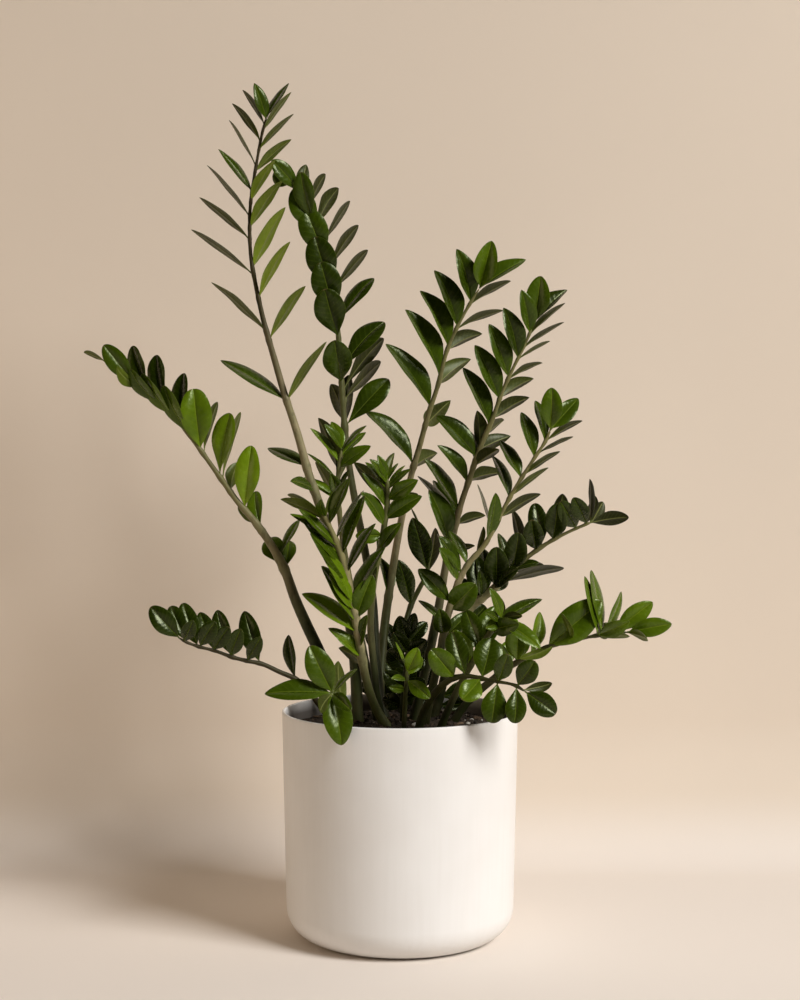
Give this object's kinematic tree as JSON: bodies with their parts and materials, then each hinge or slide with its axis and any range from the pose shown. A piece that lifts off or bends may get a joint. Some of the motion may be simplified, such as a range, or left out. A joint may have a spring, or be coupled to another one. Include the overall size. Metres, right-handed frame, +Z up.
{
  "type": "potted zz plant",
  "caption": "Potted ZZ plant: arching feather-like fronds of thick glossy green leaflets rising from dark potting soil in a round white planter with a rounded foot.",
  "frame": {"origin": "centre of the planter's flat underside, on the surface it stands on", "axes": "+Z up along the planter's axis; -Y towards the viewer, the side from which the fronds fan out to left (-X) and right (+X)"},
  "size_m": [0.7327, 0.3654, 1.0871],
  "materials": {
    "planter": "satin",
    "soil": "matte",
    "foliage": "gloss"
  },
  "bodies": {
    "root": {"planter": "planter", "soil": "soil", "frond_tall_left": "foliage", "frond_tall_braid": "foliage", "frond_front_left": "foliage", "frond_young_left": "foliage", "frond_young_mid": "foliage", "frond_mid_right": "foliage", "frond_back_dark": "foliage", "frond_right": "foliage", "frond_right_low": "foliage", "frond_right_arch": "foliage", "frond_right_front": "foliage", "frond_low_right": "foliage", "frond_low_front": "foliage", "frond_low_left": "foliage", "frond_front_rosette": "foliage", "frond_small_front": "foliage", "frond_inner": "foliage", "frond_left_arch": "foliage"}
  },
  "joints": []
}
